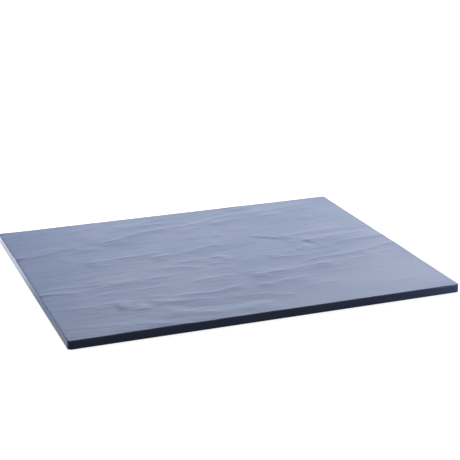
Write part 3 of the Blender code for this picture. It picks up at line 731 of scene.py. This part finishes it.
melamine = bpy.data.materials.new("pressed_slate_melamine")
melamine.use_nodes = True
paint = melamine.node_tree
paint.nodes.clear()
coordinates = add(paint, "ShaderNodeTexCoord").outputs
spot = coordinates["Object"]
cloud_at = add(paint, "ShaderNodeVectorMath", {0: spot, 1: CLOUD_STRETCH}, operation="MULTIPLY")
cloud = add(paint, "ShaderNodeTexNoise",
            {"Vector": cloud_at, "Scale": 1 / CLOUD_SIZE, "Detail": CLOUD_DETAIL})
shade = add(paint, "ShaderNodeMapRange",
            {"Value": cloud, "From Min": CLOUD_DARK_BELOW, "From Max": CLOUD_PALE_ABOVE})
dye = add(paint, "ShaderNodeMix", {0: shade, COLOUR_A: linear("#1a2134"), COLOUR_B: linear("#222a40")},
          data_type="RGBA")
print("clouds:", round(CLOUD_SIZE / MM), "mm,", len(paint.nodes), "nodes")

# %% Melamine: flecks in the dye
FLECK_SIZE = 0.9 * MM
FLECK_DETAIL = 2.0
FLECK_FROM = 0.55
FLECK_TO = 0.8
FLECK_SHARE = 0.35
fleck = add(paint, "ShaderNodeTexNoise", {"Vector": spot, "Scale": 1 / FLECK_SIZE, "Detail": FLECK_DETAIL})
fleck_share = add(paint, "ShaderNodeMapRange",
                  {"Value": fleck, "From Min": FLECK_FROM, "From Max": FLECK_TO, "To Max": FLECK_SHARE})
flecked = add(paint, "ShaderNodeMix", {0: fleck_share, COLOUR_A: dye, COLOUR_B: linear("#343e57")},
              data_type="RGBA")
print("flecks:", round(FLECK_SIZE / MM, 1), "mm,", len(paint.nodes), "nodes")

# %% [markdown]
# The mould gives the face a satin skin. The edge was ground and buffed after moulding, so it is smoother and
# mirrors the table. Two materials would leave a hard line between them. Here the direction of the surface
# tells face from edge, and the roughness runs from one to the other round the arris.

# %% Melamine: satin face and buffed edge
EDGE_ROUGHNESS = 0.08
SATIN_SMOOTHEST = 0.39
SATIN_ROUGHEST = 0.46
BUFFED_BELOW = 0.3
SATIN_ABOVE = 0.9
VALUE_A = 2
VALUE_B = 3
facing = add(paint, "ShaderNodeSeparateXYZ", {0: coordinates["Normal"]}).outputs["Z"]
level_share = add(paint, "ShaderNodeMath", {0: facing}, operation="ABSOLUTE")
on_face = add(paint, "ShaderNodeMapRange",
              {"Value": level_share, "From Min": BUFFED_BELOW, "From Max": SATIN_ABOVE})
satin = add(paint, "ShaderNodeMapRange", {
    "Value": cloud, "From Min": NOISE_LOW, "From Max": NOISE_HIGH,
    "To Min": SATIN_SMOOTHEST, "To Max": SATIN_ROUGHEST,
})
finish = add(paint, "ShaderNodeMix", {0: on_face, VALUE_A: EDGE_ROUGHNESS, VALUE_B: satin},
             data_type="FLOAT")
buffed = add(paint, "ShaderNodeMath", {0: 1.0, 1: on_face}, operation="SUBTRACT")
print("roughness:", EDGE_ROUGHNESS, "on the edge,", SATIN_SMOOTHEST, "to", SATIN_ROUGHEST, "on the face")

# %% [markdown]
# The mould's own surface is hair-fine splitting lines along the lay, and the faint grit of the satin skin.
# The mesh would need millions of points for them, so they are bump. Both are drawn a little coarser than
# they are, so that a close view shows them.

# %% Melamine: bump
HAIRLINE_LENGTH = 16 * MM
HAIRLINE_WIDTH = 1.1 * MM
HAIRLINE_DEPTH = 0.03 * MM
HAIRLINE_DETAIL = 3.0
GRIT_SIZE = 0.45 * MM
GRIT_DEPTH = 0.006 * MM
GRIT_DETAIL = 2.0
spot_laid = along_lay(paint, add(paint, "ShaderNodeSeparateXYZ", {0: spot}).outputs)
hairline_at = add(paint, "ShaderNodeVectorMath",
                  {0: spot_laid, 1: (1 / HAIRLINE_LENGTH, 1 / HAIRLINE_WIDTH, 0.0)}, operation="MULTIPLY")
hairline = add(paint, "ShaderNodeTexNoise",
               {"Vector": hairline_at, "Scale": 1.0, "Detail": HAIRLINE_DETAIL})
hairline_share = add(paint, "ShaderNodeMath", {0: hairline, 1: on_face}, operation="MULTIPLY")
hairline_bump = add(paint, "ShaderNodeBump",
                    {"Height": hairline_share, "Distance": HAIRLINE_DEPTH, "Strength": 1.0})
grit = add(paint, "ShaderNodeTexNoise", {"Vector": spot, "Scale": 1 / GRIT_SIZE, "Detail": GRIT_DETAIL})
grit_bump = add(paint, "ShaderNodeBump",
                {"Height": grit, "Distance": GRIT_DEPTH, "Strength": 1.0, "Normal": hairline_bump})
print("bump:", round(HAIRLINE_DEPTH / MM, 3), "mm hairlines and", round(GRIT_DEPTH / MM, 3), "mm grit")

# %% [markdown]
# Pressed melamine is dark when looked at squarely, and a pale dusty blue where it catches light at a low
# angle. A paler dye would be right at low angles only. The sheen of a Principled shader is a layer that
# shows at low angles, so it is right from all sides. The specular tint keeps the square-on gloss as dark as
# the dye, and a thin clear coat on the buffed edge gives it its mirror.

# %% Melamine: shader
RESIN_IOR = 1.5
COAT_IOR = 1.25
SHEEN_ROUGHNESS = 0.5
skin = add(paint, "ShaderNodeBsdfPrincipled", {
    "Base Color": flecked,
    "Roughness": finish,
    "IOR": RESIN_IOR,
    "Normal": grit_bump,
    "Specular Tint": linear("#3c4664"),
    "Sheen Weight": 1.0,
    "Sheen Roughness": SHEEN_ROUGHNESS,
    "Sheen Tint": linear("#9bbbf6"),
    "Coat Weight": buffed,
    "Coat IOR": COAT_IOR,
    "Coat Roughness": EDGE_ROUGHNESS,
})
add(paint, "ShaderNodeOutputMaterial", {"Surface": skin})
print("melamine:", len(paint.nodes), "nodes")

# %% [markdown]
# ## The finished board
# The tree gets its sizes and the material and runs once on the blank. A live modifier would run again with
# every change of the scene, so the result is kept as a plain mesh. It is shaded smooth, apart from the edges
# that are really sharp, such as the rims of the sockets.

# %% Run the tree and keep a plain mesh
def grow(name, start, tree, sockets, values):
    """Runs a tree with the given inputs on a starting mesh, and keeps the result as a plain mesh."""
    maker = show(name + "_maker", start)
    growth = maker.modifiers.new(tree.name, "NODES")
    growth.node_group = tree
    for title, value in values.items():
        growth[sockets[title].identifier] = value
    seen = maker.evaluated_get(bpy.context.evaluated_depsgraph_get())
    mesh = bpy.data.meshes.new_from_object(seen)
    mesh.name = name
    bpy.data.objects.remove(maker)
    return show(name, mesh)


board = grow("riven_board", blank_mesh, rive, rive_sockets, {
    "Crest lines": crest_lines,
    "Ledges": len(LEDGES),
    "Points per crest": CREST_POINTS,
    "Depth of ledges": 1.36,
    "Sharpness of crests": 1.05,
    "Share of width behind": 0.7,
    "Fade at crest ends": 15 * MM,
    "Wander of crests": 3.5 * MM,
    "Depth of ripples": 0.4 * MM,
    "Height of flakes": 0.035 * MM,
    "Seed": 11.0,
    "Melamine": melamine,
})
bpy.data.objects.remove(crest_lines)
lifts = np.zeros(len(board.data.vertices))
board.data.attributes["lift"].data.foreach_get("value", lifts)
print("relief from", round(lifts.min() / MM, 2), "to", round(lifts.max() / MM, 2), "mm")

# %% Smooth shading
SHARP_FROM = math.radians(40)
board.data.shade_smooth()
board.data.set_sharp_from_angle(angle=SHARP_FROM)
board.data.calc_loop_triangles()
print("board:", len(board.data.loop_triangles), "triangles")

# %% [markdown]
# ## Feet
# Four moulded silicone discs keep the board from sliding. A cylinder with a bevel comes close, but the two
# ends of a foot differ: a small chamfer that goes into the socket, and a round edge at the sole. So one foot
# is turned from its half section, as on a lathe.

# %% One foot: half section
FOOT_CHAMFER = 0.25 * MM
FOOT_EDGE = 0.5 * MM
FOOT_EDGE_STEPS = 6
foot_top = foot_boxes[0][1].z
half_section = [(0, foot_top)]
half_section.append((foot_radius - FOOT_CHAMFER, foot_top))
half_section.append((foot_radius, foot_top - FOOT_CHAMFER))
for step in range(FOOT_EDGE_STEPS + 1):
    angle = step / FOOT_EDGE_STEPS * math.pi / 2
    across = foot_radius - FOOT_EDGE * (1 - math.cos(angle))
    half_section.append((across, FOOT_EDGE * (1 - math.sin(angle))))
half_section.append((0, 0))
print("half section:", len(half_section), "points,", round(foot_top / MM, 1), "mm high")

# %% One foot: turned
FOOT_SIDES = 64
SAME_POINT = 0.001 * MM
foot_shape = bmesh.new()
chain = [foot_shape.verts.new((across, 0, height)) for across, height in half_section]
edges = [foot_shape.edges.new(pair) for pair in zip(chain, chain[1:])]
bmesh.ops.spin(foot_shape, geom=[*chain, *edges], cent=(0, 0, 0), axis=(0, 0, 1), angle=2 * math.pi,
               steps=FOOT_SIDES, use_merge=True)
bmesh.ops.remove_doubles(foot_shape, verts=foot_shape.verts, dist=SAME_POINT)
bmesh.ops.recalc_face_normals(foot_shape, faces=foot_shape.faces)
foot_mesh = bpy.data.meshes.new("foot")
foot_shape.to_mesh(foot_mesh)
foot_shape.free()
foot_mesh.shade_smooth()
foot_mesh.set_sharp_from_angle(angle=SHARP_FROM)
one_foot = show("one_foot", foot_mesh)
print("foot:", round(2 * foot_radius / MM, 1), "mm across,", len(foot_mesh.polygons), "faces")

# %% [markdown]
# Silicone rubber for feet is black with soot, moulded matt so that it grips. It picks up dust, so its black
# is never even, and its skin keeps the fine grain of the mould. Colour and roughness could each have a noise
# of their own, but dust changes both in the same places, so one noise drives both.

# %% Silicone
DUST_SIZE = 2.5 * MM
DUST_DETAIL = 4.0
CLEAN_ROUGHNESS = 0.5
DUSTY_ROUGHNESS = 0.75
GRAIN_SIZE = 0.3 * MM
GRAIN_DEPTH = 0.01 * MM
GRAIN_DETAIL = 2.0
SILICONE_IOR = 1.41
silicone = bpy.data.materials.new("moulded_black_silicone")
silicone.use_nodes = True
rubber = silicone.node_tree
rubber.nodes.clear()
rubber_spot = add(rubber, "ShaderNodeTexCoord").outputs["Object"]
dust = add(rubber, "ShaderNodeTexNoise",
           {"Vector": rubber_spot, "Scale": 1 / DUST_SIZE, "Detail": DUST_DETAIL})
dusted = add(rubber, "ShaderNodeMix", {0: dust, COLOUR_A: linear("#161719"), COLOUR_B: linear("#26272a")},
             data_type="RGBA")
matt = add(rubber, "ShaderNodeMapRange",
           {"Value": dust, "To Min": CLEAN_ROUGHNESS, "To Max": DUSTY_ROUGHNESS})
mould_grain = add(rubber, "ShaderNodeTexNoise",
                  {"Vector": rubber_spot, "Scale": 1 / GRAIN_SIZE, "Detail": GRAIN_DETAIL})
rubber_bump = add(rubber, "ShaderNodeBump",
                  {"Height": mould_grain, "Distance": GRAIN_DEPTH, "Strength": 1.0})
rubber_skin = add(rubber, "ShaderNodeBsdfPrincipled",
                  {"Base Color": dusted, "Roughness": matt, "IOR": SILICONE_IOR, "Normal": rubber_bump})
add(rubber, "ShaderNodeOutputMaterial", {"Surface": rubber_skin})
print("silicone:", len(rubber.nodes), "nodes")

# %% [markdown]
# The four feet are the same, and each sits in the middle of its socket. Copies could be placed one by one.
# A small tree sets a copy of the foot on each of four points instead, so a change to the foot changes all
# four.

# %% Four feet in their sockets
seat, seat_sockets = new_tree("feet_in_sockets", {
    "Sockets": "NodeSocketGeometry",
    "Foot": "NodeSocketObject",
    "Silicone": "NodeSocketMaterial",
}, "Feet")
asked = add(seat, "NodeGroupInput").outputs
foot_info = add(seat, "GeometryNodeObjectInfo", {"Object": asked["Foot"]}).outputs["Geometry"]
copies = add(seat, "GeometryNodeInstanceOnPoints", {"Points": asked["Sockets"], "Instance": foot_info})
made_real = add(seat, "GeometryNodeRealizeInstances", {"Geometry": copies})
coated = add(seat, "GeometryNodeSetMaterial", {"Geometry": made_real, "Material": asked["Silicone"]})
add(seat, "NodeGroupOutput", {"Feet": coated})

seats = bpy.data.meshes.new("seats")
seats.from_pydata([(place.x, place.y, 0) for place in foot_places], [], [])
feet = grow("silicone_feet", seats, seat, seat_sockets, {"Foot": one_foot, "Silicone": silicone})
bpy.data.objects.remove(one_foot)
print("feet:", len(feet.data.polygons), "faces")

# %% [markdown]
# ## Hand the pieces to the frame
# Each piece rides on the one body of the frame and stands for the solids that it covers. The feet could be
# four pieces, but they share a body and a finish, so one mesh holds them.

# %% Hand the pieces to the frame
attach(board, "root")
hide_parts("board")
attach(feet, "root")
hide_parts(*foot_nodes)
print("pieces:", board.name, "and", feet.name)

# %% [markdown]
# ## Floor
# The board was photographed on white. More light would turn a floor white, but would bleach the board too.
# So the floor is a grey diffuse plane that takes the shadow, with a glow that only the camera and mirrored
# rays see. Both the grey and what mirrors see of the glow are painted paler from the front to the back of
# the board: the grey is painted shade, darker in front, and the glow is a painted reflection, brighter
# behind, which the buffed edges of the board mirror.

# %% Floor: plane
FLOOR_HALF = 4.0
floor_shape = bmesh.new()
bmesh.ops.create_grid(floor_shape, x_segments=1, y_segments=1, size=FLOOR_HALF)
floor_mesh = bpy.data.meshes.new("floor")
floor_shape.to_mesh(floor_mesh)
floor_shape.free()
floor = show("floor", floor_mesh)
floor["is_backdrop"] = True
print("floor:", 2 * FLOOR_HALF, "m square")

# %% Floor: strength of the glow
GLOW = 0.92
# Painted reflection: what mirrors see of the glow is painted brighter from the front to the back of the
# board.
PAINTED_REFLECTION_IN_FRONT = 0.3
PAINTED_REFLECTION_BEHIND = 1.0
PAINTED_LIGHT_FROM = -30 * MM
PAINTED_LIGHT_TO = 70 * MM


def seen_straight(tree):
    """A value of 1 for rays from the camera, mirrors and clear materials, and 0 for light that bounces."""
    path = add(tree, "ShaderNodeLightPath").outputs
    mirrored = add(tree, "ShaderNodeMath", {0: path["Is Camera Ray"], 1: path["Is Glossy Ray"]},
                   operation="MAXIMUM")
    return add(tree, "ShaderNodeMath", {0: mirrored, 1: path["Is Transmission Ray"]}, operation="MAXIMUM")


paper = bpy.data.materials.new("white_paper")
paper.use_nodes = True
sweep_tree = paper.node_tree
sweep_tree.nodes.clear()
floor_spot = add(sweep_tree, "ShaderNodeTexCoord").outputs["Object"]
floor_y = add(sweep_tree, "ShaderNodeSeparateXYZ", {0: floor_spot}).outputs["Y"]
# Share of the painted light and painted shade, from the front to the back of the board.
painted_light_share = add(sweep_tree, "ShaderNodeMapRange",
            {"Value": floor_y, "From Min": PAINTED_LIGHT_FROM, "From Max": PAINTED_LIGHT_TO},
            interpolation_type="SMOOTHSTEP")
# Painted reflection: the glow that mirrors see, from its front value to its back value.
painted_reflection_glow = add(sweep_tree, "ShaderNodeMix",
                    {0: painted_light_share, VALUE_A: PAINTED_REFLECTION_IN_FRONT, VALUE_B: PAINTED_REFLECTION_BEHIND}, data_type="FLOAT")
in_mirror = add(sweep_tree, "ShaderNodeLightPath").outputs["Is Glossy Ray"]
glow_level = add(sweep_tree, "ShaderNodeMix", {0: in_mirror, VALUE_A: GLOW, VALUE_B: painted_reflection_glow},
                 data_type="FLOAT")
glow_strength = add(sweep_tree, "ShaderNodeMath", {0: seen_straight(sweep_tree), 1: glow_level},
                    operation="MULTIPLY")
print("glow:", GLOW, "to the camera,", PAINTED_REFLECTION_IN_FRONT, "to", PAINTED_REFLECTION_BEHIND, "to mirrors")

# %% Floor: paper
WHITE = (1.0, 1.0, 1.0, 1.0)
# Painted shade: the grey of the paper is darker towards the front of the board.
painted_shade_grey = add(sweep_tree, "ShaderNodeMix",
           {0: painted_light_share, COLOUR_A: linear("#8c8c8c"), COLOUR_B: linear("#d4d4d4")}, data_type="RGBA")
matt_paper = add(sweep_tree, "ShaderNodeBsdfDiffuse", {"Color": painted_shade_grey})
glow = add(sweep_tree, "ShaderNodeEmission", {"Color": WHITE, "Strength": glow_strength})
both = add(sweep_tree, "ShaderNodeAddShader", {0: matt_paper, 1: glow})
add(sweep_tree, "ShaderNodeOutputMaterial", {"Surface": both})
floor_mesh.materials.append(paper)
print("paper:", len(sweep_tree.nodes), "nodes")

# %% [markdown]
# ## Light
# A product studio lights such a board with soft boxes, and so does this scene. A sun lamp would be simpler,
# but has no area that the satin face could mirror. Of the two behind the board, the large one is what the
# face mirrors at this low angle, and the small one makes it paler to the right. The one overhead fills, the
# one at the right lights the right edge, and a small card just in front of the board lights the right end of
# the front edge.

# %% Lights: place, aim, size of the cloth and its brightness
def softbox(name, place, aim, size, radiance):
    """A rectangular soft light at a place, facing the aim, with the given brightness of its cloth."""
    lamp = bpy.data.lights.new(name, "AREA")
    lamp.shape = "RECTANGLE"
    lamp.size, lamp.size_y = size
    lamp.energy = radiance * math.pi * size[0] * size[1]
    box = bpy.data.objects.new(name, lamp)
    box.location = place
    box.rotation_euler = (Vector(aim) - Vector(place)).to_track_quat("-Z", "Y").to_euler()
    box.visible_camera = False
    bpy.context.scene.collection.objects.link(box)


softbox("overhead", (0.0, 0.4, 1.6), (0, 0, 0), (2.4, 2.4), 1.4)
softbox("behind", (1.45, 1.7, 0.95), (0, 0, 0.05), (3.0, 1.8), 2.5)
softbox("behind right", (1.45, 1.6, 0.65), (0, 0, 0), (0.9, 0.9), 2.0)
softbox("right", (1.7, -0.7, 0.45), (0, 0, 0), (0.9, 0.7), 1.0)
softbox("front card", (0.2, -0.19, 0.008), (0.145, -0.1325, 0.004), (0.05, 0.012), 28.0)
print("lights:", [light.name for light in bpy.data.lights])

# %% [markdown]
# The walls of the studio are white. A bright world would wash out the shadow on the floor, so the room is
# white only to the camera and to mirrors, and adds a little light of its own.

# %% Room
ROOM_FILL = 0.2
world = bpy.data.worlds.new("room")
bpy.context.scene.world = world
world.use_nodes = True
air = world.node_tree
air.nodes.clear()
room_strength = add(air, "ShaderNodeMapRange",
                    {"Value": seen_straight(air), "To Min": ROOM_FILL, "To Max": 1.0})
walls = add(air, "ShaderNodeBackground", {"Color": WHITE, "Strength": room_strength})
add(air, "ShaderNodeOutputWorld", {"Surface": walls})
bpy.context.scene.view_settings.view_transform = "Standard"
print("room: fill of", ROOM_FILL)

# %% [markdown]
# ## Sizes
# The dressed board has to fill the same box as its frame, so how far it grows past the frame's box at the
# top corner is printed.

# %% Sizes and finish
visual_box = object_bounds()
grown = [round((seen - packed) / MM, 2) for packed, seen in zip(cad_box[1], visual_box[1])]
print("box grown by", grown, "mm at the top corner")
